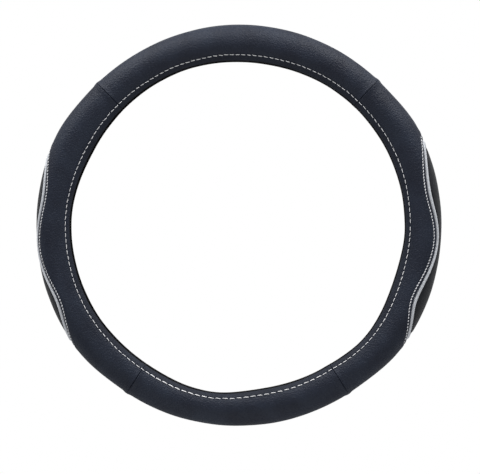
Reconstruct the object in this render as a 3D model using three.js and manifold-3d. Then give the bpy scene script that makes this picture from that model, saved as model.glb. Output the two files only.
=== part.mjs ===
import * as THREE from "three";
import { mergeVertices } from "three/addons/utils/BufferGeometryUtils.js";
import Module from "manifold-3d";

// Steering wheel cover: a leather sleeve, C-shaped in section, sewn round a moulded rubber ring.
// It lies flat on its back: +Z is the face the driver sees, +X its right-hand side, +Y its top.
// Every point has three ring coordinates: theta, the angle round the wheel (degrees, anticlockwise
// from +X); phi, the angle round the sleeve (0 at the outer rim, 90 at the front, -90 at the back);
// and height, the distance outside the rubber's outer face (mm).

// Driving sizes of the sleeve, mm and degrees
const OUTER_RADIUS = 191; // ring centre to the outer rim, over plain leather
const HOLE_RADIUS = 158; // ring centre to the edge of the hole
const SLEEVE_HEIGHT = 34; // back to front, over plain leather
const LEATHER = 1.2;
const RUBBER = 1.8;
const GAP = 0.3; // clearance between pieces that touch
const LIP_ANGLE = 152; // where the rubber ends, both front and back
const HEM = 7.5; // leather turned back inside the lips
const ROLL = 7.5; // the sleeve is rolled on its section: forwards at the left, back at the right

// Seams between the leather panels, degrees, and the ridge of doubled leather beside each
const SEAMS = { rightTop: 46.2, topLeft: 135, leftBottom: 236.1, bottomRight: 303.1 };
const RIDGE_WIDTH = 5.4;
const RIDGE_HEIGHT = 0.9;

// Windows, piping and inserts, mm
const CORD = 2.9; // diameter of the piping
const FLANGE = 0.4; // thickness of the piping's sewn-in edge
const FLANGE_REACH = 1.8; // how far the flange goes under the leather
const FACET_ROOM = 0.4; // extra room round the piping, where the leather's flat facets dip
const MARGIN = 4; // how far the insert goes under the leather
const PAD_RISE = 1.8; // the insert's padded middle stands over its margin
const TIP_SLOPE = 6.4; // phi gained per degree of theta where the piping leaves a tip

// Slow drift of the hand-made outline from two true circles: [theta, mm]
const OUTER_DRIFT = [[0, -0.6], [30, 0.3], [60, 0.4], [90, 0.2], [120, -0.4], [150, 0.4], [180, -0.5],
  [210, 0.5], [240, 0.6], [270, -0.3], [300, -0.3], [335, 0.3]];
const HOLE_DRIFT = [[0, -0.5], [45, -0.8], [80, -2.4], [112, -1], [150, -1.5], [180, 2.8], [205, 2.4],
  [235, 0.9], [258, 2.9], [280, -1.5], [300, -0.8], [317, 1.6], [342, -2.2]];

// The piping's way round each window: [theta, phi] at a tip, a lobe, the waist, a lobe and a tip
const LEFT = {
  front: [[158.4, 0], [171.6, 50], [186.5, 26], [202.4, 56], [215.5, 0]],
  back: [[158.4, 0], [171.6, -47], [186.5, -26], [202.4, -47], [215.5, 0]],
};
const RIGHT = {
  front: [[-35, 0], [-22.6, 58], [-4.2, 29], [10.4, 52], [25.6, 0]],
  back: [[-35, 0], [-22.6, -47], [-4.2, -26], [10.4, -47], [25.6, 0]],
};

// Rows round the sleeve; the pair at -101 and -79 bounds the flat that the cover rests on
const ROWS = [-LIP_ANGLE, -127, -101, -79, -58, -38, -19, 0, 19, 38, 57, 74, 90, 106, 129, LIP_ANGLE];
const REST_ROW = 79;
const WINDOW_STEPS = 22;
const CROWDING = 0.55;
const PRISM_STEPS = 8;

// Sizes that follow from the driving ones
const DEG = 180 / Math.PI;
const OUTSIDE = GAP + LEATHER;
const HALF_HEIGHT = SLEEVE_HEIGHT / 2 - OUTSIDE;
const NOMINAL = HALF_HEIGHT; // radius of the plain circle the sections are drawn on
const CENTRE_Z = (HALF_HEIGHT + OUTSIDE) * Math.sin(REST_ROW / DEG);
const INSERT_TOP = GAP + LEATHER;
const CORD_LEVEL = INSERT_TOP + GAP + CORD / 2;
const LIFT = INSERT_TOP + FLANGE + GAP + FACET_ROOM; // the side panels are lifted over what is lapped under them
const WINDOW_EDGE = CORD / 2 + GAP + FACET_ROOM / 4;
const TIP_PHI = phiOf((CORD + GAP) / 2) * 1.18;

function thetaOf(mm) {
  return (mm / OUTER_RADIUS) * DEG;
}

function phiOf(mm) {
  return (mm / (HALF_HEIGHT + CORD_LEVEL)) * DEG;
}

function ease(t) {
  const u = Math.min(Math.max(t, 0), 1);
  return u * u * (3 - 2 * u);
}

// Value at theta of a closed list of [theta, value] stations
function drift(stations, theta) {
  const at = ((theta % 360) + 360) % 360;
  const next = stations.findIndex((s) => s[0] > at);
  const b = next < 0 ? [stations[0][0] + 360, stations[0][1]] : stations[next];
  const a = stations[(next < 0 ? stations.length : next) - 1];
  return a[1] + (b[1] - a[1]) * ease((at - a[0]) / (b[0] - a[0]));
}

function roll(theta, phi) {
  return ROLL * Math.cos(theta / DEG) * ease((phi + REST_ROW) / REST_ROW);
}

// Half-width of the rubber's section, so that leather reaches both the outer rim and the hole's edge
function halfWidth(theta, outer) {
  const hole = HOLE_RADIUS + drift(HOLE_DRIFT, theta);
  const reach = Math.cos((LIP_ANGLE + 4 + roll(theta, 90)) / DEG);
  return (outer - OUTSIDE - hole + reach) / (1 - reach);
}

function place(theta, phi, height) {
  const outer = OUTER_RADIUS + drift(OUTER_DRIFT, theta);
  const half = halfWidth(theta, outer);
  const turned = (phi + roll(theta, phi)) / DEG;
  const radius = outer - OUTSIDE - half + (half + height) * Math.cos(turned);
  const z = CENTRE_Z + (HALF_HEIGHT + height) * Math.sin(turned);
  return new THREE.Vector3(radius * Math.cos(theta / DEG), radius * Math.sin(theta / DEG), z);
}

function pathEnds(side) {
  return [side.front[0][0], side.front[4][0]];
}

// Lift of a side panel over its insert: full round the window, none at the seams, lips and rest flat
function liftAlong(theta, side, ends) {
  const [first, last] = pathEnds(side);
  const ridge = thetaOf(RIDGE_WIDTH);
  const rise = ease((theta - ends[0] - ridge) / (first - 3 - ends[0] - ridge));
  const fall = ease((ends[1] - ridge - theta) / (ends[1] - ridge - last - 3));
  return LIFT * Math.min(rise, fall);
}

function liftAcross(phi) {
  const back = [[-180, 0], [-REST_ROW, 0], [-58, 0.92], [-44, 1]];
  const stations = [...back, [57, 1], [74, 0.9], [90, 0.35], [106, 0], [180, 0]];
  const next = stations.findIndex((s) => s[0] >= phi && s[0] > -180);
  const a = stations[next - 1];
  const b = stations[next];
  return a[1] + ((b[1] - a[1]) * (phi - a[0])) / (b[0] - a[0]);
}

function ridgeRise(theta, phi, ends) {
  if (phi < -60) return 0;
  const near = Math.min(theta - ends[0], ends[1] - theta);
  return RIDGE_HEIGHT * ease(1 - near / thetaOf(RIDGE_WIDTH));
}

// A closed section, points [phi, height], drawn on the plain circle and run through whole steps
function sectionRun(points, steps) {
  const outline = points.map(([phi, height]) => {
    const r = NOMINAL + height;
    return new THREE.Vector2(r * Math.sin(phi / DEG), r * Math.cos(phi / DEG));
  });
  const settings = { depth: steps, steps, bevelEnabled: false };
  return bare(new THREE.ExtrudeGeometry(new THREE.Shape(outline), settings));
}

function bare(geometry) {
  geometry.deleteAttribute("normal");
  geometry.deleteAttribute("uv");
  return mergeVertices(geometry, 1e-4);
}

// Moves each vertex of a section run to the point that target(phi, height, step) gives
function bendRun(geometry, target) {
  const position = geometry.getAttribute("position");
  for (let i = 0; i < position.count; i += 1) {
    const x = position.getX(i);
    const y = position.getY(i);
    const phi = Math.atan2(x, y) * DEG;
    const p = target(phi, Math.hypot(x, y) - NOMINAL, Math.round(position.getZ(i)));
    position.setXYZ(i, p.x, p.y, p.z);
  }
  return geometry;
}

// Columns of a panel: its two ends, the feet of its ridges and even steps between them
function columnsOf(start, end, steps) {
  const ridge = thetaOf(RIDGE_WIDTH);
  const columns = [start];
  for (let i = 0; i <= steps; i += 1) columns.push(start + ridge + ((end - start - 2 * ridge) * i) / steps);
  return [...columns, end];
}

const PANELS = {
  right_panel: { ends: [SEAMS.bottomRight - 360, SEAMS.rightTop], steps: 16, side: RIGHT },
  top_panel: { ends: [SEAMS.rightTop, SEAMS.topLeft], steps: 12, side: null },
  left_panel: { ends: [SEAMS.topLeft, SEAMS.leftBottom], steps: 16, side: LEFT },
  bottom_panel: { ends: [SEAMS.leftBottom, SEAMS.bottomRight], steps: 9, side: null },
};

// Leather section: outer face, round the front lip, hem, back along the inner face, round the back lip
function leatherSection() {
  const outer = ROWS.map((phi) => [phi, OUTSIDE]);
  const inner = ROWS.map((phi) => [phi, GAP]).reverse();
  const lip = LIP_ANGLE;
  const across = DEG / NOMINAL;
  const hemEnd = lip - HEM * across;
  const under = -RUBBER - GAP;
  const turn = [
    [lip + (OUTSIDE - 0.2) * across, GAP + LEATHER * 0.2],
    [lip + (OUTSIDE - 0.2) * across, under - LEATHER * 0.2],
    [lip, under - LEATHER],
    [hemEnd, under - LEATHER],
    [hemEnd, under],
    [lip, under],
    [lip + GAP * across, -RUBBER + 0.1],
    [lip + GAP * across, -0.1],
  ];
  const mirrored = turn.map(([phi, height]) => [-phi, height]).reverse();
  return [...outer, ...turn, ...inner, ...mirrored];
}

function leatherPanel({ ends, steps, side }) {
  const columns = columnsOf(ends[0] + thetaOf(GAP / 2), ends[1] - thetaOf(GAP / 2), steps);
  const target = (phi, height, step) => {
    const theta = columns[step];
    const outside = height > GAP / 2;
    const lift = outside && side ? liftAlong(theta, side, ends) * liftAcross(phi) : 0;
    const ridge = height > GAP + LEATHER / 2 ? ridgeRise(theta, phi, ends) : 0;
    return place(theta, phi, height + lift + ridge);
  };
  return bendRun(sectionRun(leatherSection(), columns.length - 1), target);
}

// The rubber ring shares the panels' rows and columns outside; inside it has fewer rows
function rubberRing() {
  const columns = Object.values(PANELS).flatMap(({ ends, steps }) => columnsOf(...ends, steps).slice(0, -1));
  const across = DEG / NOMINAL;
  const hemEnd = LIP_ANGLE - HEM * across;
  const inside = [LIP_ANGLE, hemEnd, 96, 68, 40, 13, -13, -40, -68, -96, -hemEnd, -LIP_ANGLE];
  const profile = [...ROWS.map((phi) => [phi, 0]), ...inside.map((phi) => [phi, -RUBBER])];
  profile.push(profile[0]);
  const points = profile.map(([phi, height]) => new THREE.Vector2(NOMINAL + height, phi));
  const geometry = bare(new THREE.LatheGeometry(points, columns.length));
  const position = geometry.getAttribute("position");
  for (let i = 0; i < position.count; i += 1) {
    const x = position.getX(i);
    const z = position.getZ(i);
    const turn = (Math.atan2(x, z) * columns.length) / (2 * Math.PI);
    const column = (Math.round(turn) + columns.length) % columns.length;
    const p = place(columns[column], position.getY(i), Math.hypot(x, z) - NOMINAL);
    position.setXYZ(i, p.x, p.y, p.z);
  }
  return geometry;
}

// Cubic run between two path points, with the slope TIP_SLOPE at a tip and level elsewhere
function pathPhi(path, sign, theta) {
  const points = path.map(([t, phi], i) => [t, i % 4 === 0 ? sign * TIP_PHI : phi]);
  const k = Math.max(1, Math.min(points.findIndex((p) => p[0] >= theta - 1e-6), 4) || 1);
  const [a, b] = [points[k - 1], points[k]];
  const span = b[0] - a[0];
  const t = Math.min(Math.max((theta - a[0]) / span, 0), 1);
  const slopeIn = k === 1 ? sign * TIP_SLOPE * span : 0;
  const slopeOut = k === 4 ? -sign * TIP_SLOPE * span : 0;
  const start = slopeIn * t * (1 - t) * (1 - t);
  const end = slopeOut * t * t * (t - 1);
  return a[1] + (b[1] - a[1]) * ease(t) + start + end;
}

// Thetas at which a window is sampled, closer together towards the tips
function samples(side) {
  const [first, last] = pathEnds(side);
  const list = [];
  for (let i = 0; i <= WINDOW_STEPS; i += 1) {
    const t = i / WINDOW_STEPS;
    list.push(first + (last - first) * (t - (CROWDING * Math.sin(2 * Math.PI * t)) / (2 * Math.PI)));
  }
  return list;
}

// A point of a window's edge, moved off the piping's middle by offset mm, away from the insert
function edgePoint(side, face, theta, offset) {
  const sign = face === "front" ? 1 : -1;
  const [first, last] = pathEnds(side);
  const step = 0.2;
  const before = Math.max(theta - step, first);
  const after = Math.min(theta + step, last);
  const rise = pathPhi(side[face], sign, after) - pathPhi(side[face], sign, before);
  const slope = (sign * rise * thetaOf(1)) / (after - before) / phiOf(1);
  const length = Math.hypot(1, slope);
  return {
    theta: theta - (offset * slope * thetaOf(1)) / length,
    phi: pathPhi(side[face], sign, theta) + (sign * offset * phiOf(1)) / length,
  };
}

// A body over the whole of a window, its edge offset mm outside the piping's middle
function windowPrism(side, offset, low, high) {
  const thetas = samples(side);
  const across = [];
  for (let i = -PRISM_STEPS; i <= PRISM_STEPS; i += 2) across.push((90 * i) / PRISM_STEPS);
  const top = across.map((phi) => [phi, high]);
  const bottom = across.map((phi) => [phi, low]).reverse();
  // The middle of each wall is drawn a little outside it, so that no three points are in line
  const section = [...top, [95, CORD_LEVEL], ...bottom, [-95, CORD_LEVEL]];
  const target = (phi, height, step) => {
    const at = between(side, thetas[step], offset, Math.abs(phi) > 90 ? Math.sign(phi) : phi / 90);
    return place(at.theta, at.phi, height);
  };
  return bendRun(sectionRun(section, thetas.length - 1), target);
}

// A point across a window, from its back edge at share -1 to its front edge at share 1
function between(side, theta, offset, share) {
  const front = edgePoint(side, "front", theta, offset);
  const back = edgePoint(side, "back", theta, offset);
  const least = phiOf(GAP);
  const [low, high] = [Math.min(back.phi, -least), Math.max(front.phi, least)];
  const t = (share + 1) / 2;
  return { theta: back.theta + (front.theta - back.theta) * t, phi: low + (high - low) * t };
}

// Insert section: a thin margin under the leather on both sides and a padded middle, drawn from
// -90 to 90 for the margin's edges and from -60 to 60 for the pad's
function insertSection() {
  const bottom = [];
  for (let i = PRISM_STEPS; i >= -PRISM_STEPS; i -= 2) bottom.push([(90 * i) / PRISM_STEPS, GAP + 0.1]);
  const pad = [-58, -36, -12, 12, 36, 58].map((phi) => [phi, INSERT_TOP + PAD_RISE]);
  return [[-90, INSERT_TOP], [-60, INSERT_TOP], ...pad, [60, INSERT_TOP], [90, INSERT_TOP], ...bottom];
}

function insert(side) {
  const thetas = samples(side);
  const last = thetas.length - 1;
  const target = (phi, height, step) => {
    const onPad = Math.abs(phi) < 61 && height > INSERT_TOP - 0.1;
    const share = onPad ? Math.max(-1, Math.min(1, phi / 58)) : phi / 90;
    const at = between(side, thetas[step], onPad ? -WINDOW_EDGE : WINDOW_EDGE + MARGIN, share);
    const rise = step < 2 || step > last - 2 ? 0.05 : 1;
    const top = Math.min(height, INSERT_TOP) + Math.max(height - INSERT_TOP, 0) * rise;
    return place(at.theta, at.phi, top);
  };
  return bendRun(sectionRun(insertSection(), last), target);
}

// Piping section: the cord, with a flat flange that runs under the leather
function pipingSection() {
  const r = CORD / 2;
  const reach = WINDOW_EDGE + FLANGE_REACH;
  const cord = [0, 45, 90, 135, 180, 225].map((a) => [r * Math.cos(a / DEG), r * Math.sin(a / DEG)]);
  const top = FLANGE - r;
  return [...cord, [0, -r], [reach, -r], [reach, top], [r * 0.75, top]];
}

function piping(side, face) {
  const thetas = samples(side);
  const outline = pipingSection().map(([s, n]) => new THREE.Vector2(face === "front" ? s : -s, n));
  const settings = { depth: thetas.length - 1, steps: thetas.length - 1, bevelEnabled: false };
  const geometry = bare(new THREE.ExtrudeGeometry(new THREE.Shape(outline), settings));
  const position = geometry.getAttribute("position");
  for (let i = 0; i < position.count; i += 1) {
    const theta = thetas[Math.round(position.getZ(i))];
    const offset = face === "front" ? position.getX(i) : -position.getX(i);
    const at = edgePoint(side, face, theta, offset);
    const p = place(at.theta, at.phi, CORD_LEVEL + position.getY(i));
    position.setXYZ(i, p.x, p.y, p.z);
  }
  return geometry;
}

const wasm = await Module();
wasm.setup();

function solid(geometry) {
  const mesh = new wasm.Mesh({
    numProp: 3,
    vertProperties: new Float32Array(geometry.getAttribute("position").array),
    triVerts: new Uint32Array(geometry.index.array),
  });
  return new wasm.Manifold(mesh);
}

function geometryOf(manifold) {
  const mesh = manifold.getMesh();
  const geometry = new THREE.BufferGeometry();
  geometry.setAttribute("position", new THREE.BufferAttribute(mesh.vertProperties, 3));
  geometry.setIndex(new THREE.BufferAttribute(mesh.triVerts, 1));
  return geometry;
}

function sidePanel(panel) {
  const cutter = windowPrism(panel.side, WINDOW_EDGE, 0, CORD_LEVEL + CORD);
  return geometryOf(solid(leatherPanel(panel)).subtract(solid(cutter)));
}

// Looks of the materials
const MAIN_LEATHER = new THREE.MeshStandardMaterial({ color: 0x2b2e36, roughness: 0.62, metalness: 0 });
const INSERT_LEATHER = new THREE.MeshStandardMaterial({ color: 0x232426, roughness: 0.5, metalness: 0 });
const PIPING_CLOTH = new THREE.MeshStandardMaterial({ color: 0x9ea1a6, roughness: 0.55, metalness: 0 });
const BLACK_RUBBER = new THREE.MeshStandardMaterial({ color: 0x18191a, roughness: 0.8, metalness: 0 });

const cover = new THREE.Group();

function addPiece(name, geometry, material) {
  const mesh = new THREE.Mesh(geometry, material);
  mesh.name = name;
  cover.add(mesh);
}

addPiece("inner_ring", rubberRing(), BLACK_RUBBER);
addPiece("top_panel", leatherPanel(PANELS.top_panel), MAIN_LEATHER);
addPiece("bottom_panel", leatherPanel(PANELS.bottom_panel), MAIN_LEATHER);
addPiece("left_panel", sidePanel(PANELS.left_panel), MAIN_LEATHER);
addPiece("right_panel", sidePanel(PANELS.right_panel), MAIN_LEATHER);
addPiece("left_insert", insert(LEFT), INSERT_LEATHER);
addPiece("right_insert", insert(RIGHT), INSERT_LEATHER);
addPiece("left_front_piping", piping(LEFT, "front"), PIPING_CLOTH);
addPiece("left_back_piping", piping(LEFT, "back"), PIPING_CLOTH);
addPiece("right_front_piping", piping(RIGHT, "front"), PIPING_CLOTH);
addPiece("right_back_piping", piping(RIGHT, "back"), PIPING_CLOTH);

// The origin is the middle of the cover's outline, on the face it rests on
const bounds = new THREE.Box3().setFromObject(cover);
cover.position.set(-(bounds.min.x + bounds.max.x) / 2, -(bounds.min.y + bounds.max.y) / 2, -bounds.min.z);

export default cover;
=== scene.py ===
"""Steering wheel cover: a leather sleeve with stitched lips and piped windows, on a rubber ring.

A point on the sleeve is given by theta, the angle round the wheel from its right-hand side, phi,
the angle round the sleeve (0 outer rim, 90 front, -90 back), and height, the distance outside the
rubber's outer face. Sizes are in millimetres and degrees, and place() turns them into metres.
"""
import math

import bpy
import numpy as np
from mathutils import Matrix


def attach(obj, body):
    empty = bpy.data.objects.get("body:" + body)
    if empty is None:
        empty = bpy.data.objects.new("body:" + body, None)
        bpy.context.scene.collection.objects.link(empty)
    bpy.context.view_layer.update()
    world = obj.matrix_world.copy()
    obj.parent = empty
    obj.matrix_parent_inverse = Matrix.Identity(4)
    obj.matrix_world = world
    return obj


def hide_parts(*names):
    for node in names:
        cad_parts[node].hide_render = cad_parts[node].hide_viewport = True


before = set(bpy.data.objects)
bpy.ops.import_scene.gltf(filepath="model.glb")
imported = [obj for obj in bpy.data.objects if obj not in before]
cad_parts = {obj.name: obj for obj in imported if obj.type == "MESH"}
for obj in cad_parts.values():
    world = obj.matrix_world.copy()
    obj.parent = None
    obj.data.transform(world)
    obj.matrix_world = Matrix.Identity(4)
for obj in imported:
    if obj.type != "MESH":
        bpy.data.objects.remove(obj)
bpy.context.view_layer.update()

DEG = 180 / math.pi
FRONT = 90.0

# Sleeve, with the same sizes as the solids
OUTER_RADIUS = 191.0
HOLE_RADIUS = 158.0
HALF_HEIGHT = 15.5
OUTSIDE = 1.5  # height of the leather's outer face
LEATHER = 1.05  # its thickness
RUBBER = 1.8
LIP_ANGLE = 152.0  # the rubber ends here, at both lips
LIP_TURN = 4.0  # and the leather's fold reaches this much further
REST_ROW = 79.0  # the flat that the cover lies on begins this far round the back
ROLL = 7.5  # the front is turned so far: to the hole at the right, to the rim at the left
CENTRE_Z = (HALF_HEIGHT + OUTSIDE) * math.sin(REST_ROW / DEG)
SHIFT = np.array([0.0578, -0.3875, 0.0])  # brings the origin to the middle of the outline
SEAMS = (46.2, 135.0, 236.1, 303.1)
# Hand-made unevenness of both radii, in mm at stations round the wheel
OUTER_DRIFT = [(0, -0.6), (30, 0.3), (60, 0.4), (90, 0.2), (120, -0.4), (150, 0.4), (180, -0.5),
               (210, 0.5), (240, 0.6), (270, -0.3), (300, -0.3), (335, 0.3)]
HOLE_DRIFT = [(0, -0.5), (45, -0.8), (80, -2.4), (112, -1), (150, -1.5), (180, 2.8), (205, 2.4),
              (235, 0.9), (258, 2.9), (280, -1.5), (300, -0.8), (317, 1.6), (342, -2.2)]

# Windows: tip, lobe, waist, lobe and tip of both pipings, as theta and phi
LEFT = {"front": [(158.4, 0), (171.6, 50), (186.5, 26), (202.4, 56), (215.5, 0)],
        "back": [(158.4, 0), (171.6, -47), (186.5, -26), (202.4, -47), (215.5, 0)]}
RIGHT = {"front": [(-35, 0), (-22.6, 58), (-4.2, 29), (10.4, 52), (25.6, 0)],
         "back": [(-35, 0), (-22.6, -47), (-4.2, -26), (10.4, -47), (25.6, 0)]}
CORD_RADIUS = 1.45
CORD_LEVEL = 3.25  # height of the cord's middle
TIP_PHI = 5.78  # of the cord's middle at the tips
TIP_SLOPE = 6.4  # degrees of phi for a degree of theta, there
SLOPE_STEP = 0.2  # a slope is taken from so far before to so far after
WINDOW_EDGE = 1.85  # from the cord's middle to the leather's edge
TIP_OPEN = 0.12  # share of that edge's phi that is left at the very tip
TIP_CLOSING = 4.5  # the edge closes over this length
LIFT = 2.6  # rise of a side panel over the insert lapped under it
LIFT_END = 3.0  # it is full from so many degrees before the window
LIFT_BACK = 27.0  # and over so many degrees beside the flat of the back
LIFT_FADE = (58.0, 50.0)  # it falls from this phi, over so many degrees
MM_THETA = OUTER_RADIUS / DEG
MM_PHI = (HALF_HEIGHT + CORD_LEVEL) / DEG

# Relief of the leather beside the seams and along the folds
RIDGE_WIDTH = 5.4
RIDGE_HEIGHT = 0.75
RIDGE_START = (-70.0, 30.0)  # it rises from this phi, over so many degrees
RIDGE_FADE = (95.0, 25.0, 0.6)  # and loses this share from here, over so many degrees
GROOVE_DEPTH = (0.8, 0.7)  # on the front, and how much less at the outer rim
GROOVE_WIDTH = (0.7, 0.35)  # the same
SEAM_GAP = 0.012 / MM_THETA  # from the seam to each panel's edge
TROUGH = (0.3, 0.9)  # depth and width of the dip along the lip's stitches
TUCK = (0.5, 0.38, 0.95)  # of the sharper one beside them, and how far from them
HEM_RISE = (0.22, 2.0)  # height and span of the rise over the turned hem
FOLD_RADIUS = 0.95  # of the window's edge
EDGE_DROP = 1.0
WINDOW_DIP = (0.32, 0.55)  # depth and width of the dip along the window's stitches
WINDOW_SWELL = (0.25, 5.0, 4.0)  # height, distance from the edge and half width
WAVE_COUNT = 7
WAVE_HEIGHT = 0.035
EDGE_PHI = 147.0  # the fold along the lip's edge, painted black as shade, begins here
EDGE_BLUR = 1.2
EDGE_ROLL = 0.6  # share of the roll that its beginning follows
EDGE_DEPTH = 0.4
HEM_SHADE = 0.2  # share of the painted black shade on the leather between the stitches and the fold
HEM_SHADE_BLUR = 1.5

# Sewing
LIP_STITCH_PHI = 126.0
LIP_ROW_DRIFT = [(0, 2.5), (25, -1), (60, -1), (90, -1), (120, 1), (150, -1.5), (180, 2),
                 (210, -2), (240, -1), (270, 0), (300, 2), (335, -2)]
LIP_ROW_ROLL = 0.8
LIP_ROW_RADIUS = 163.5
LIP_STITCH_PITCH = 5.4
LOWER_STITCH_PITCH = 6.6  # on the bottom panel
LIP_STITCH_WIDTH = 0.7
LOWER_STITCH_WIDTH = 0.78
BOLD_STITCH_WIDTH = 1.1  # beside the lower left seam
WINDOW_STITCH_PITCH = 3.1
WINDOW_STITCH_LENGTH = 2.35
WINDOW_STITCH_WIDTH = 0.8
WINDOW_STITCH_OFFSET = 4.3  # from the cord's middle
WAIST_MARGIN = 1.2  # and so much more at the waist
WAIST_SPAN = 14.0
STITCH_LOOPS = 9
STITCH_SIDES = 8

# Meshes
COLUMN_STEP = 1.6
ACROSS_ROWS = 15  # rows between the window's two edges
MIDDLE_ROW = 12.0  # phi of the outermost of them on a panel without a window
BESIDE_WINDOW_ROW = 22.0  # and on a side panel, at its seams


def ease(t):
    """A smooth step from 0 to 1 as t goes from 0 to 1."""
    u = np.clip(t, 0, 1)
    return u * u * (3 - 2 * u)


def rise(value, start, span):
    """A smooth step from 0 at start to 1 at start + span."""
    return ease((value - start) / span)


def bell(value, depth, width):
    """A rounded dip or bump along value = 0."""
    return depth * np.exp(-(value / width) ** 2)


def drift(stations, theta):
    """A smooth closed curve through stations of angle and value."""
    keys = np.array([s[0] for s in stations] + [stations[0][0] + 360.0])
    values = np.array([s[1] for s in stations] + [stations[0][1]])
    at = np.mod(theta, 360.0)
    k = np.clip(np.searchsorted(keys, at, side="right") - 1, 0, len(stations) - 1)
    part = ease((at - keys[k]) / (keys[k + 1] - keys[k]))
    return values[k] + (values[k + 1] - values[k]) * part


def roll(theta, phi):
    """How far the section is turned round its middle; the flat at the back isn't."""
    return ROLL * np.cos(theta / DEG) * rise(phi, -REST_ROW, REST_ROW)


def place(theta, phi, height):
    """The point in the row frame, in metres, of coordinates on the sleeve."""
    theta, phi, height = np.broadcast_arrays(*map(np.asarray, (theta, phi, height)))
    outer = OUTER_RADIUS + drift(OUTER_DRIFT, theta)
    reach = np.cos((LIP_ANGLE + LIP_TURN + roll(theta, FRONT)) / DEG)
    half = (outer - OUTSIDE - HOLE_RADIUS - drift(HOLE_DRIFT, theta) + reach) / (1 - reach)
    turned = (phi + roll(theta, phi)) / DEG
    radius = outer - OUTSIDE - half + (half + height) * np.cos(turned)
    z = CENTRE_Z + (HALF_HEIGHT + height) * np.sin(turned)
    x, y = radius * np.cos(theta / DEG), radius * np.sin(theta / DEG)
    return (np.stack([x, y, np.maximum(z, 0.0)], -1) + SHIFT) / 1000


def path_phi(path, sign, theta):
    """Where the piping's middle runs: a smooth way through the tips, lobes and waist."""
    points = [(t, sign * TIP_PHI if i % 4 == 0 else phi) for i, (t, phi) in enumerate(path)]
    keys = np.array([p[0] for p in points], float)
    values = np.array([p[1] for p in points], float)
    k = np.clip(np.searchsorted(keys, theta, side="left"), 1, 4)
    span = keys[k] - keys[k - 1]
    t = np.clip((theta - keys[k - 1]) / span, 0, 1)
    slope_in = np.where(k == 1, sign * TIP_SLOPE * span, 0.0)
    slope_out = np.where(k == 4, -sign * TIP_SLOPE * span, 0.0)
    middle = values[k - 1] + (values[k] - values[k - 1]) * ease(t)
    return middle + slope_in * t * (1 - t) ** 2 + slope_out * t * t * (t - 1)


def ends_of(side):
    return side["front"][0][0], side["front"][4][0]


def edge_point(side, face, theta, offset):
    """A point offset mm away from the piping's middle, on the leather's side."""
    sign = 1 if face == "front" else -1
    first, last = ends_of(side)
    before = np.maximum(theta - SLOPE_STEP, first)
    after = np.minimum(theta + SLOPE_STEP, last)
    climb = path_phi(side[face], sign, after) - path_phi(side[face], sign, before)
    slope = sign * climb * MM_PHI / (after - before) / MM_THETA
    length = np.hypot(1, slope)
    return (theta - offset * slope / length / MM_THETA,
            path_phi(side[face], sign, theta) + sign * offset / length / MM_PHI)


def sewing_point(side, face, theta):
    """The window's row of stitches, with more leather between it and the piping at the waist."""
    waist = side[face][2][0]
    margin = WAIST_MARGIN * (1 - ease(np.abs(theta - waist) / WAIST_SPAN))
    return edge_point(side, face, theta, WINDOW_STITCH_OFFSET + margin)


def edge_of_window(side, face, theta):
    """The leather's edge beside the piping; at the tips it closes over the ends of both pipings."""
    first, last = ends_of(side)
    from_end = np.minimum(theta - first, last - theta) * MM_THETA
    t, p = edge_point(side, face, theta, WINDOW_EDGE)
    open_share = TIP_OPEN + (1 - TIP_OPEN) * np.sqrt(np.clip(from_end / TIP_CLOSING, 0, 1))
    return t, p * open_share


def outline(side, point, count=160):
    """A closed line round a window, as x and y in mm, with its points closer at the tips."""
    first, last = ends_of(side)
    t = np.linspace(0, 1, count)
    theta = first + (last - first) * (t - 0.7 * np.sin(2 * np.pi * t) / (2 * np.pi))
    ft, fp = point(side, "front", theta)
    bt, bp = point(side, "back", theta)
    x = np.concatenate([ft, bt[::-1]]) * MM_THETA
    y = np.concatenate([fp, bp[::-1]]) * MM_PHI
    return x, y


def distance_to(theta, phi, line):
    """Distance in mm from points on the sleeve to a closed line."""
    px = (theta * MM_THETA).ravel()[:, None]
    py = (phi * MM_PHI).ravel()[:, None]
    ax, ay = line
    bx, by = np.roll(ax, -1), np.roll(ay, -1)
    dx, dy = bx - ax, by - ay
    t = np.clip(((px - ax) * dx + (py - ay) * dy) / np.maximum(dx * dx + dy * dy, 1e-9), 0, 1)
    nearest = ((px - ax - t * dx) ** 2 + (py - ay - t * dy) ** 2).min(1)
    return np.sqrt(nearest).reshape(theta.shape)


def lift_of(theta, phi, side, ends):
    """How far a side panel stands off the rubber over the insert lapped under it."""
    first, last = ends_of(side)
    ridge = RIDGE_WIDTH / MM_THETA
    up = ease((theta - ends[0] - ridge) / (first - LIFT_END - ends[0] - ridge))
    down = ease((ends[1] - ridge - theta) / (ends[1] - ridge - last - LIFT_END))
    across = rise(phi, -REST_ROW, LIFT_BACK) * (1 - rise(phi, *LIFT_FADE))
    return LIFT * np.minimum(up, down) * across


def waves(theta, phi, seed):
    """Slow hand-made unevenness of stretched leather, about a tenth of a millimetre."""
    rng = np.random.default_rng(seed)
    total = np.zeros(np.broadcast(theta, phi).shape)
    for _ in range(WAVE_COUNT):
        a, b = rng.uniform(0.08, 0.5), rng.uniform(0.01, 0.06)
        slant = rng.choice([-1, 1])
        total = total + WAVE_HEIGHT * np.sin(a * theta * slant + b * phi + rng.uniform(0, 6.3))
    return total


def painted_shade_fold(theta, phi):
    """1 on the pressed fold along the lip's edge, where black is painted in as shade, and 0
    elsewhere.
    """
    return ease((np.abs(phi) - EDGE_PHI + EDGE_ROLL * roll(theta, phi)) / EDGE_BLUR)


def lip_row(theta, sign):
    """Where round the sleeve the lip's stitches run, nearly as far from the edge all the way."""
    row = LIP_STITCH_PHI + drift(LIP_ROW_DRIFT, theta)
    return sign * row - LIP_ROW_ROLL * roll(theta, sign * LIP_STITCH_PHI)


def past_lip_row(theta, phi):
    """Distance in mm from the lip's stitches towards the lip's edge."""
    return (np.abs(phi) - np.abs(lip_row(theta, np.sign(phi)))) * MM_PHI


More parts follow.
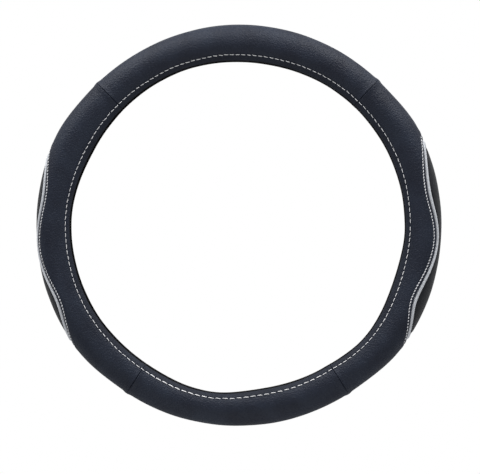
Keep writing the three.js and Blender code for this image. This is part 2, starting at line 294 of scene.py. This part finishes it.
def leather_height(theta, phi, side, ends):
    """Height of the leather's outer face on the panel between two seams."""
    height = np.full(np.broadcast(theta, phi).shape, OUTSIDE) + waves(theta, phi, 3)
    if side is not None:
        height = height + lift_of(theta, phi, side, ends)
    # A ridge over the seam's allowance, and a groove at the seam, shallow at the outer rim
    near = np.minimum(theta - ends[0], ends[1] - theta) * MM_THETA
    fade_phi, fade_span, fade = RIDGE_FADE
    ridge = RIDGE_HEIGHT * ease(1 - near / RIDGE_WIDTH) * rise(phi, *RIDGE_START)
    ridge = ridge * (1 - fade * rise(phi, fade_phi, fade_span))
    steep = np.cos(phi / DEG) ** 2
    depth = GROOVE_DEPTH[0] - GROOVE_DEPTH[1] * steep ** 2
    width = GROOVE_WIDTH[0] - GROOVE_WIDTH[1] * steep
    height = height + ridge - depth * ease(1 - near / width)
    # The thread pulls the leather down in a shallow trough, and the turned hem fills the lip
    row = past_lip_row(theta, phi)
    height = height - bell(row, *TROUGH) - bell(row + TUCK[2], *TUCK[:2])
    height = height + HEM_RISE[0] * ease(row / HEM_RISE[1]) - EDGE_DEPTH * painted_shade_fold(theta, phi)
    if side is not None:
        # The edge is rolled over beside the piping, and dips along its row of stitches
        d = distance_to(theta, phi, outline(side, edge_of_window))
        inside = np.clip(1 - d / FOLD_RADIUS, 0, 1)
        height = height - FOLD_RADIUS * (1 - np.sqrt(np.clip(1 - inside ** 2, 0, 1)))
        sewn = distance_to(theta, phi, outline(side, sewing_point))
        swell, swell_at, swell_half = WINDOW_SWELL
        height = height - bell(sewn, *WINDOW_DIP)
        height = height + swell * ease(1 - np.abs(d - swell_at) / swell_half)
    return height


def srgb(text):
    """A hex colour as the linear colour that the shader wants."""
    values = [int(text[i:i + 2], 16) / 255 for i in (0, 2, 4)]
    linear = [v / 12.92 if v <= 0.04045 else ((v + 0.055) / 1.055) ** 2.4 for v in values]
    return (*linear, 1.0)


def new_material(name, colour, roughness):
    material = bpy.data.materials.new(name)
    material.use_nodes = True
    shader = material.node_tree.nodes["Principled BSDF"]
    shader.inputs["Base Color"].default_value = srgb(colour)
    shader.inputs["Roughness"].default_value = roughness
    return material, material.node_tree, shader


def noise(tree, scale, detail, stretch=None):
    """Noise in object space; scale is in patterns per metre."""
    coords = tree.nodes.new("ShaderNodeTexCoord")
    texture = tree.nodes.new("ShaderNodeTexNoise")
    texture.inputs["Scale"].default_value = scale
    texture.inputs["Detail"].default_value = detail
    source = coords.outputs["Object"]
    if stretch is not None:
        mapping = tree.nodes.new("ShaderNodeMapping")
        mapping.inputs["Scale"].default_value = stretch
        tree.links.new(source, mapping.inputs["Vector"])
        source = mapping.outputs["Vector"]
    tree.links.new(source, texture.inputs["Vector"])
    return texture.outputs["Fac"]


def pebbles(tree, scale):
    """Rounded cells in object space, for grain; scale is in cells per metre."""
    coords = tree.nodes.new("ShaderNodeTexCoord")
    texture = tree.nodes.new("ShaderNodeTexVoronoi")
    texture.feature = "SMOOTH_F1"
    texture.inputs["Scale"].default_value = scale
    tree.links.new(coords.outputs["Object"], texture.inputs["Vector"])
    return texture.outputs["Distance"]


def tint(tree, shader, factor, low, high):
    """Mixes the base colour between two hex colours by a factor."""
    ramp = tree.nodes.new("ShaderNodeValToRGB")
    ramp.color_ramp.elements[0].position = 0.3
    ramp.color_ramp.elements[1].position = 0.7
    ramp.color_ramp.elements[0].color = srgb(low)
    ramp.color_ramp.elements[1].color = srgb(high)
    tree.links.new(factor, ramp.inputs["Fac"])
    tree.links.new(ramp.outputs["Color"], shader.inputs["Base Color"])
    return ramp.outputs["Color"]


def bump(tree, shader, factor, depth, strength, below=None):
    """Adds relief by a factor, depth in metres, on top of the bump below it."""
    node = tree.nodes.new("ShaderNodeBump")
    node.inputs["Distance"].default_value = depth
    node.inputs["Strength"].default_value = strength
    tree.links.new(factor, node.inputs["Height"])
    if below is not None:
        tree.links.new(below.outputs["Normal"], node.inputs["Normal"])
    tree.links.new(node.outputs["Normal"], shader.inputs["Normal"])
    return node


def leather_material():
    """Main panels: dark navy-black cowhide, matte, with a pressed fine pebble grain under 1 mm, and
    black painted shade along the lips.
    """
    satin = 0.52
    material, tree, shader = new_material("main leather", "202531", satin)
    field = tint(tree, shader, noise(tree, 45, 4), "1c202c", "252b38")
    # The edge attribute paints the fold along the lip's edge and both turned lips near-black as
    # painted shade, and makes them matte
    edge = tree.nodes.new("ShaderNodeAttribute")
    edge.attribute_name = "edge"
    painted_shade_mix = tree.nodes.new("ShaderNodeMix")
    painted_shade_mix.data_type = "RGBA"
    painted_shade_mix.inputs["B"].default_value = srgb("040405")
    tree.links.new(edge.outputs["Fac"], painted_shade_mix.inputs["Factor"])
    tree.links.new(field, painted_shade_mix.inputs["A"])
    tree.links.new(painted_shade_mix.outputs["Result"], shader.inputs["Base Color"])
    grain = bump(tree, shader, pebbles(tree, 900), 0.0006, 0.8)
    bump(tree, shader, noise(tree, 420, 6), 0.0007, 0.5, grain)
    matt = tree.nodes.new("ShaderNodeMapRange")
    matt.inputs["To Min"].default_value = satin
    matt.inputs["To Max"].default_value = 1.0
    tree.links.new(edge.outputs["Fac"], matt.inputs["Value"])
    tree.links.new(matt.outputs["Result"], shader.inputs["Roughness"])
    shader.inputs["Specular IOR Level"].default_value = 0.2
    return material


def insert_material():
    """Inserts: smoother split leather, rolled lengthwise, so it shows faint streaks."""
    material, tree, shader = new_material("insert leather", "15171d", 0.48)
    tint(tree, shader, noise(tree, 60, 3), "121419", "1b1d23")
    streaks = bump(tree, shader, noise(tree, 260, 4, (2.2, 0.35, 2.2)), 0.0003, 0.45)
    bump(tree, shader, pebbles(tree, 1200), 0.0004, 0.5, streaks)
    shader.inputs["Specular IOR Level"].default_value = 0.3
    return material


def piping_material():
    """Piping: satin-faced polyester twill bound round a cord."""
    material, tree, shader = new_material("piping cloth", "c4c7cc", 0.42)
    tint(tree, shader, noise(tree, 500, 3), "b8bbc1", "d0d3d8")
    bump(tree, shader, noise(tree, 2600, 2), 0.0001, 0.4)
    shader.inputs["Sheen Weight"].default_value = 0.3
    return material


def thread_material(name, colour):
    """Bonded polyester sewing thread, two-ply, slightly glossy."""
    material, tree, shader = new_material(name, colour, 0.5)
    bump(tree, shader, noise(tree, 3000, 2), 0.0001, 0.5)
    shader.inputs["Sheen Weight"].default_value = 0.2
    return material


def rubber_material():
    """Inner ring: injection-moulded black rubber, left matte by the tool."""
    material, tree, shader = new_material("moulded rubber", "141415", 0.72)
    bump(tree, shader, noise(tree, 1500, 3), 0.0001, 0.3)
    return material


MAIN = leather_material()
INSERT = insert_material()
PIPING = piping_material()
THREAD = thread_material("off-white thread", "f2f2f3")
FINE_THREAD = thread_material("light grey thread", "e4e5e8")
BLACK_RUBBER = rubber_material()


def mesh_object(name, points, faces, material):
    mesh = bpy.data.meshes.new(name)
    mesh.from_pydata(points.reshape(-1, 3).tolist(), [], [tuple(map(int, f)) for f in faces])
    mesh.update()
    mesh.shade_smooth()
    mesh.materials.append(material)
    piece = bpy.data.objects.new(name, mesh)
    bpy.context.scene.collection.objects.link(piece)
    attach(piece, "root")
    return piece


def grid_faces(columns, rows, closed_rows=False, closed_columns=False):
    """Quads of a grid of points ordered column by column."""
    faces = []
    for i in range(columns if closed_columns else columns - 1):
        for j in range(rows if closed_rows else rows - 1):
            a, b = i * rows + j, i * rows + (j + 1) % rows
            c, d = ((i + 1) % columns) * rows + (j + 1) % rows, ((i + 1) % columns) * rows + j
            faces.append((a, d, c, b))
    return faces


def loop_body(name, points, material, closed=False):
    """A body from loops of points, one per column, with its two ends closed unless it is a ring."""
    columns, rows = points.shape[:2]
    faces = grid_faces(columns, rows, True, closed)
    if not closed:
        last = (columns - 1) * rows
        faces.append(tuple(range(rows)))
        faces.append(tuple(range(last + rows - 1, last - 1, -1)))
    return mesh_object(name, points, faces, material)


PANELS = {
    "right_panel": ((SEAMS[3] - 360, SEAMS[0]), RIGHT),
    "top_panel": ((SEAMS[0], SEAMS[1]), None),
    "left_panel": ((SEAMS[1], SEAMS[2]), LEFT),
    "bottom_panel": ((SEAMS[2], SEAMS[3]), None),
}


def columns_between(a, b):
    """Angles from a to b, close together at both and a column step apart between them."""
    close = [0, 0.2, 0.42, 0.68, 0.95, 1.25, 1.6, 2.1, 2.8]
    length = (b - a) * MM_THETA / 2
    even = np.linspace(close[-1], length, max(2, int((length - close[-1]) / COLUMN_STEP)))
    distance = np.concatenate([close[:-1], even])
    return np.concatenate([a + distance / MM_THETA, (b - distance / MM_THETA)[::-1][1:]])


def panel_columns(ends, window):
    """The panel's angles, and the numbers of the columns at the window's two tips."""
    start, end = ends[0] + SEAM_GAP, ends[1] - SEAM_GAP
    if window is None:
        return columns_between(start, end), None
    before = columns_between(start, window[0])
    along = columns_between(*window)
    after = columns_between(window[1], end)
    first = len(before) - 1
    return np.concatenate([before, along[1:], after[1:]]), (first, first + len(along) - 1)


def lip_rows(sign):
    """The leather's way round a lip: out over the rubber's edge, back inside it, along the hem."""
    across = DEG / (HALF_HEIGHT - 1)
    turn = np.linspace(80, -90, 12) / DEG
    hem = np.linspace(0.8, 7.5, 6)
    phi = np.concatenate([LIP_ANGLE + 2.1 * np.cos(turn) * across, LIP_ANGLE - hem * across])
    height = np.concatenate([-0.9 + 2.4 * np.sin(turn), np.full(len(hem), -3.3)])
    return sign * phi, height


def face_rows(theta, edge, sign):
    """Rows from a window's edge to a lip, closer at both and beside the lip's stitches."""
    close = [0, 0.007, 0.015, 0.024, 0.034, 0.046, 0.06, 0.078, 0.094, 0.11, 0.126, 0.145]
    share = np.concatenate([close, np.linspace(0.17, 1, 34)])[None, :]
    beside = sign * np.array([-2.2, -1.6, -1.25, -0.95, -0.7, -0.4, 0.0, 0.5, 1.1, 1.8]) / MM_PHI
    to_lip = np.array([0.15, 0.3, 0.42, 0.51, 0.58, 0.65, 0.72, 0.79, 0.86, 0.93, 1])
    edge = edge[:, None]
    row = lip_row(theta, sign)[:, None]
    start, last = row + beside[0], row + beside[-1]
    return np.concatenate([edge + (start - edge) * share, row + beside[None, 1:],
                           last + (sign * LIP_ANGLE - last) * to_lip], 1)


def window_edges(theta, ends, side, window):
    """The phi of both edges of the window, carried on to the seams beyond its tips."""
    if side is None:
        front = np.full(len(theta), MIDDLE_ROW)
        return front, -front
    t = np.linspace(*ends_of(side), 400)
    beyond = ease(np.maximum((window[0] - theta) / (window[0] - ends[0]),
                             (theta - window[1]) / (ends[1] - window[1])))
    front = np.interp(theta, *edge_of_window(side, "front", t))
    back = np.interp(theta, *edge_of_window(side, "back", t))
    return (front + (BESIDE_WINDOW_ROW - front) * beyond,
            back + (-BESIDE_WINDOW_ROW - back) * beyond)


def leather_panel(name):
    """One panel: the outer face and both lips as one sheet of quads, then given its thickness."""
    ends, side = PANELS[name]
    window = None
    if side is not None:
        line = outline(side, edge_of_window)
        window = (line[0].min() / MM_THETA, line[0].max() / MM_THETA)
    theta, opening = panel_columns(ends, window)
    front, back = window_edges(theta, ends, side, window)
    inner = np.linspace(-1, 1, ACROSS_ROWS + 2)[None, 1:-1]
    lower, upper = face_rows(theta, back, -1), face_rows(theta, front, 1)
    across = (front + back)[:, None] / 2 + (front - back)[:, None] / 2 * inner
    phi = np.concatenate([lower[:, ::-1], across, upper], 1)
    grid_theta = np.repeat(theta[:, None], phi.shape[1], 1)
    height = leather_height(grid_theta, phi, side, ends)
    low_edge = lower.shape[1]
    high_edge = low_edge + ACROSS_ROWS - 1
    if opening is not None:
        # Beside the opening the leather's edge goes straight down to the insert
        within = np.arange(opening[0], opening[1] + 1)
        for row, edge, beside in ((low_edge, back, -1), (high_edge, front, 1)):
            phi[within, row] = edge[within]
            height[within, row] = height[within, row + beside] - EDGE_DROP
    lips = []
    for sign, last in ((-1, 0), (1, -1)):
        lip_phi, lip_height = lip_rows(sign)
        step = (height[:, [last]] - OUTSIDE) * ease(1 + lip_height / 3)[None, :]
        lips.append((np.repeat(lip_phi[None, ::sign], len(theta), 0),
                     (lip_height[None, :] + step)[:, ::sign]))
    phi = np.concatenate([lips[0][0], phi, lips[1][0]], 1)
    height = np.concatenate([lips[0][1], height, lips[1][1]], 1)
    grid_theta = np.repeat(theta[:, None], phi.shape[1], 1)
    lip_count = lips[0][0].shape[1]
    # Painted shade: a share of the black on the hem between the lip's stitches and the fold
    shade = HEM_SHADE * ease(past_lip_row(grid_theta, phi) / HEM_SHADE_BLUR)
    # Painted shade: the fold along the lip's edge and both turned lips get the full black
    painted_shade = np.maximum(painted_shade_fold(grid_theta, phi), shade)
    painted_shade[:, :lip_count] = 1
    painted_shade[:, -lip_count:] = 1
    rows = phi.shape[1]
    faces = grid_faces(len(theta), rows)
    if opening is not None:
        cut = range(low_edge + lip_count, high_edge + lip_count)
        faces = [f for f in faces
                 if not (opening[0] <= f[0] // rows < opening[1] and f[0] % rows in cut)]
    piece = mesh_object(name, place(grid_theta, phi, height), faces, MAIN)
    piece.data.attributes.new("edge", "FLOAT", "POINT").data.foreach_set("value", painted_shade.ravel())
    skin = piece.modifiers.new("leather thickness", "SOLIDIFY")
    skin.thickness = LEATHER / 1000
    skin.offset = -1
    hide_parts(name)
    return piece


def insert_piece(name, side):
    """Padded insert: thin margin under the leather, foot beside the cord and a softly domed pad."""
    lap = WINDOW_EDGE + 3.8
    top, underside = 1.5, 0.4
    foot_rise, pad_rise, crown, corner = 1.55, 1.95, 0.25, 2.2
    first, last = ends_of(side)
    t = np.linspace(0, 1, 150)
    theta = first + (last - first) * (t - 0.6 * np.sin(2 * np.pi * t) / (2 * np.pi))

    def across(offset, share, least):
        """Points between two lines offset from the pipings, which keep least apart at the tips."""
        ft, fp = edge_point(side, "front", theta, offset)
        bt, bp = edge_point(side, "back", theta, offset)
        fp, bp = np.maximum(fp, least), np.minimum(bp, -least)
        s = (np.asarray(share)[None, :] + 1) / 2
        return bt[:, None] + (ft - bt)[:, None] * s, bp[:, None] + (fp - bp)[:, None] * s

    pad_share = np.sin(np.linspace(-1, 1, 41) * np.pi / 2)
    pad_t, pad_p = across(-WINDOW_EDGE + 0.25, pad_share, 0.5)
    width = (pad_p[:, -1] - pad_p[:, 0]) * MM_PHI / 2
    tip = ease((np.minimum(theta - first, last - theta) * MM_THETA - 3.0) / 9.0)[:, None]
    from_edge = (1 - np.abs(pad_share))[None, :] * width[:, None]
    dome = np.sqrt(np.clip(1 - np.clip(1 - from_edge / corner, 0, 1) ** 2, 0, 1))
    pad_h = foot_rise + (pad_rise * dome + crown * (1 - pad_share[None, :] ** 2)) * tip
    pad_h = pad_h + waves(pad_t * 1.3, pad_p, 11) * 1.2 * tip
    foot = across(-WINDOW_EDGE + 0.2, [-1, 1], 0.45)
    margin = across(lap, [-1, 1], 0.5)
    under = across(lap, np.linspace(1, -1, 15), 0.5)
    all_t, all_p = (
        np.concatenate([m[:, :1], f[:, :1], pad, f[:, 1:], m[:, 1:], u], 1)
        for m, f, pad, u in zip(margin, foot, (pad_t, pad_p), under))
    flat = np.full((len(theta), 2), top)
    all_h = np.concatenate([flat, pad_h, flat, np.full(under[0].shape, underside)], 1)
    piece = loop_body(name, place(all_t, all_p, all_h), INSERT)
    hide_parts(name)
    return piece


def piping_piece(name, side, face):
    """Cord bound in twill, whose ribs run aslant round it, with the flange it is sewn in by."""
    rib_depth, rib_pitch, rib_turns = 0.075, 1.25, 1.6
    sink, sink_length = 1.7, 7
    flange = np.array([(0.0, -1.42), (3.4, -1.42), (3.4, -1.1), (1.0, -1.1)])
    first, last = ends_of(side)
    steps = int((last - first) * MM_THETA * 1.12 / 0.42)
    t = np.linspace(0, 1, steps)
    theta = first + (last - first) * (t - 0.35 * np.sin(2 * np.pi * t) / (2 * np.pi))
    angle = np.linspace(-55, 235, 22) / DEG
    x, y = edge_point(side, face, theta, 0.0)
    run = np.concatenate([[0], np.cumsum(np.hypot(np.diff(x) * MM_THETA, np.diff(y) * MM_PHI))])
    end = np.minimum(run, run[-1] - run)
    size = 0.72 + 0.28 * ease(end / 5)
    turns = run[:, None] / rib_pitch + angle[None, :] / (2 * np.pi) * rib_turns
    r = (CORD_RADIUS - 0.03 + rib_depth * np.sin(2 * np.pi * turns)) * size[:, None]
    s = r * np.cos(angle)[None, :]
    # The ends sink between the insert and the leather that closes over them
    n = r * np.sin(angle)[None, :] - sink * (1 - ease(end / sink_length))[:, None]
    s = np.concatenate([s, np.repeat(flange[None, :, 0], steps, 0)], 1)
    n = np.concatenate([n, np.repeat(flange[None, :, 1], steps, 0)], 1)
    at = edge_point(side, face, theta[:, None], s)
    points = place(at[0], at[1], CORD_LEVEL + n)
    if face == "back":
        points = points[:, ::-1]
    piece = loop_body(name, points, PIPING)
    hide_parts(name)
    return piece


def stitch_set(name, rows, material):
    """Sewn stitches: short threads that rise from one needle hole and dive into the next."""
    along = np.linspace(0, 1, STITCH_LOOPS)
    bulge = np.sqrt(np.clip(1 - (2 * along - 1) ** 4, 0.0, 1))
    round_ = np.linspace(0, 2 * np.pi, STITCH_SIDES, endpoint=False)
    quads = grid_faces(STITCH_LOOPS, STITCH_SIDES, True)
    points, faces = [], []
    for (t0, p0), (t1, p1), height_of, width in rows:
        theta = t0 + (t1 - t0) * along
        phi = p0 + (p1 - p0) * along
        radius = width / 2 * (0.5 + 0.5 * bulge)
        middle = height_of(theta, phi) - 0.35 * width + 0.62 * width * bulge
        dx, dy = (t1 - t0) * MM_THETA, (p1 - p0) * MM_PHI
        length = math.hypot(dx, dy)
        side_t = -dy / length / MM_THETA * radius[:, None] * np.cos(round_)[None, :]
        side_p = dx / length / MM_PHI * radius[:, None] * np.cos(round_)[None, :]
        h = middle[:, None] + 0.8 * radius[:, None] * np.sin(round_)[None, :]
        base = len(points) * STITCH_LOOPS * STITCH_SIDES
        last = base + (STITCH_LOOPS - 1) * STITCH_SIDES
        faces += [tuple(base + k for k in f[::-1]) for f in quads]
        faces.append(tuple(range(base, base + STITCH_SIDES)))
        faces.append(tuple(range(last + STITCH_SIDES - 1, last - 1, -1)))
        points.append(place(theta[:, None] + side_t, phi[:, None] + side_p, h).reshape(-1, 3))
    return mesh_object(name, np.concatenate(points), faces, material)


def seams_beside(theta):
    """The two seams of the panel at an angle, and the turn that brings the angle between them."""
    for ends, _ in PANELS.values():
        for turn in (-360, 0):
            if ends[0] <= theta + turn < ends[1]:
                return ends, turn
    raise ValueError("no panel at that angle")


def lip_stitches(name, sign):
    rng = np.random.default_rng(7 + sign)
    rows = []
    theta = 0.8
    while theta < 359.2:
        lower = float(rise(theta, 236, 6) * (1 - rise(theta, 297, 6)))
        pitch = LIP_STITCH_PITCH + (LOWER_STITCH_PITCH - LIP_STITCH_PITCH) * lower
        # Beside the lower left seam the photo's stitches are longer and thicker
        bold = float(rise(theta, 236, 4) * (1 - rise(theta, 251, 12)))
        width = LIP_STITCH_WIDTH + (LOWER_STITCH_WIDTH - LIP_STITCH_WIDTH) * lower
        width += (BOLD_STITCH_WIDTH - width) * bold
        step = pitch / (LIP_ROW_RADIUS / DEG)
        ends, turn = seams_beside(theta)
        length = step * (rng.uniform(0.71, 0.79) + 0.09 * bold)
        sway = rng.normal(0, 0.25)
        slant = 0.5 + rng.normal(0, 0.3)

        def height_of(t, p, e=ends, k=turn):
            # The thread bridges a seam's groove
            return np.full(t.shape, leather_height(t + k, p, None, e).max() + 0.12)

        row = float(lip_row(theta, sign))
        rows.append(((theta, row + sign * (sway + slant)),
                     (theta + length, row + sign * (sway - slant)), height_of, width))
        theta += step
    return stitch_set(name, rows, THREAD)


def window_stitches(name, side, ends):
    rng = np.random.default_rng(23)
    first, last = ends_of(side)

    def height_of(t, p):
        return OUTSIDE + lift_of(t, p, side, ends) + waves(t, p, 3) + 0.05

    rows = []
    for face, slant in (("front", 0.8), ("back", -0.8)):
        t, p = sewing_point(side, face, np.linspace(first, last, 900))
        steps = np.hypot(np.diff(t) * MM_THETA, np.diff(p) * MM_PHI)
        run = np.concatenate([[0], np.cumsum(steps)])
        s = 1.0
        while s + 2.2 < run[-1]:
            part = [s, s + WINDOW_STITCH_LENGTH * rng.uniform(0.95, 1.05)]
            (ta, tb), (pa, pb) = np.interp(part, run, t), np.interp(part, run, p)
            rows.append(((ta, pa + slant), (tb, pb - slant), height_of, WINDOW_STITCH_WIDTH))
            s += WINDOW_STITCH_PITCH
    return stitch_set(name, rows, FINE_THREAD)


def rubber_ring():
    """Inner ring: plain outside, with low anti-slip ribs moulded round the channel inside."""
    rib_height, rib_pitch = 0.35, 2.8
    theta = np.linspace(0, 360, 288, endpoint=False)
    outer = np.linspace(-LIP_ANGLE, LIP_ANGLE, 46)
    inner = np.linspace(LIP_ANGLE, -LIP_ANGLE, 150)
    turns = inner * (HALF_HEIGHT - RUBBER) / DEG / rib_pitch
    rib = rib_height * ease(1.4 * np.cos(2 * np.pi * turns) + 0.5)
    rib = rib * ease((118 - np.abs(inner)) / 4)
    phi = np.concatenate([outer, inner])
    height = np.concatenate([np.full(len(outer), -0.02), -RUBBER - rib])
    points = place(theta[:, None], phi[None, :], height[None, :])
    piece = loop_body("inner_ring", points, BLACK_RUBBER, closed=True)
    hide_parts("inner_ring")
    return piece


for panel_name in PANELS:
    leather_panel(panel_name)
for insert_name, insert_side in (("left_insert", LEFT), ("right_insert", RIGHT)):
    insert_piece(insert_name, insert_side)
for side_name, side_path in (("left", LEFT), ("right", RIGHT)):
    for face_name in ("front", "back"):
        piping_piece(side_name + "_" + face_name + "_piping", side_path, face_name)
rubber_ring()
lip_stitches("front_lip_stitching", 1)
lip_stitches("back_lip_stitching", -1)
window_stitches("left_window_stitching", LEFT, PANELS["left_panel"][0])
window_stitches("right_window_stitching", RIGHT, PANELS["right_panel"][0])


def white_floor():
    """Plain floor that looks white to the camera and lights the cover softly from below."""
    bpy.ops.object.select_all(action="DESELECT")
    bpy.ops.mesh.primitive_plane_add(size=6, location=(0, 0, -0.0003))
    floor = bpy.context.object
    floor.name = "floor"
    material = bpy.data.materials.new("white floor")
    material.use_nodes = True
    tree = material.node_tree
    tree.nodes.clear()
    output = tree.nodes.new("ShaderNodeOutputMaterial")
    mix = tree.nodes.new("ShaderNodeMixShader")
    ray = tree.nodes.new("ShaderNodeLightPath")
    matt = tree.nodes.new("ShaderNodeBsdfDiffuse")
    matt.inputs["Color"].default_value = srgb("f2f2f2")
    glow = tree.nodes.new("ShaderNodeEmission")
    glow.inputs["Color"].default_value = srgb("ffffff")
    glow.inputs["Strength"].default_value = 1.0
    tree.links.new(ray.outputs["Is Camera Ray"], mix.inputs["Fac"])
    tree.links.new(matt.outputs["BSDF"], mix.inputs[1])
    tree.links.new(glow.outputs["Emission"], mix.inputs[2])
    tree.links.new(mix.outputs["Shader"], output.inputs["Surface"])
    floor.data.materials.append(material)


def area_light(name, location, size, power):
    """A softbox turned to the middle of the wheel."""
    bpy.ops.object.light_add(type="AREA", location=location)
    light = bpy.context.object
    light.name = name
    light.data.size = size
    light.data.energy = power
    direction = -np.array(location)
    pitch = math.acos(-direction[2] / np.linalg.norm(direction))
    turn = math.atan2(-direction[0], direction[1])
    light.rotation_euler = (pitch, 0, turn)


def studio():
    """Two low softboxes at the top, which brighten the upper outer slope, and two weak fills."""
    white_floor()
    area_light("softbox at the top left", (-1.15, 1.85, 0.4), 0.7, 34)
    area_light("softbox at the top right", (1.05, 1.85, 0.4), 0.7, 34)
    area_light("softbox over the top", (0, 1.6, 1.2), 1.0, 8)
    area_light("fill at the bottom", (0, -1.3, 1.1), 1.4, 8)
    world = bpy.data.worlds.new("studio")
    bpy.context.scene.world = world
    world.use_nodes = True
    back = world.node_tree.nodes["Background"]
    back.inputs["Color"].default_value = srgb("f4f5f7")
    back.inputs["Strength"].default_value = 0.38


def photo_camera():
    """Straight down on the front face, with a long lens, framed as the photograph is."""
    data = bpy.data.cameras.new("camera")
    camera = bpy.data.objects.new("camera", data)
    bpy.context.scene.collection.objects.link(camera)
    distance = 3.0
    frame_width = 0.4569
    data.sensor_width = 36
    data.lens = 36 * distance / frame_width
    data.clip_end = 20
    camera.location = (0.00101, -0.01134, CENTRE_Z / 1000 + distance)
    bpy.context.scene.camera = camera


studio()
photo_camera()
scene = bpy.context.scene
scene.view_settings.view_transform = "Standard"
scene.view_settings.look = "None"
scene.render.resolution_x = 480
scene.render.resolution_y = 474
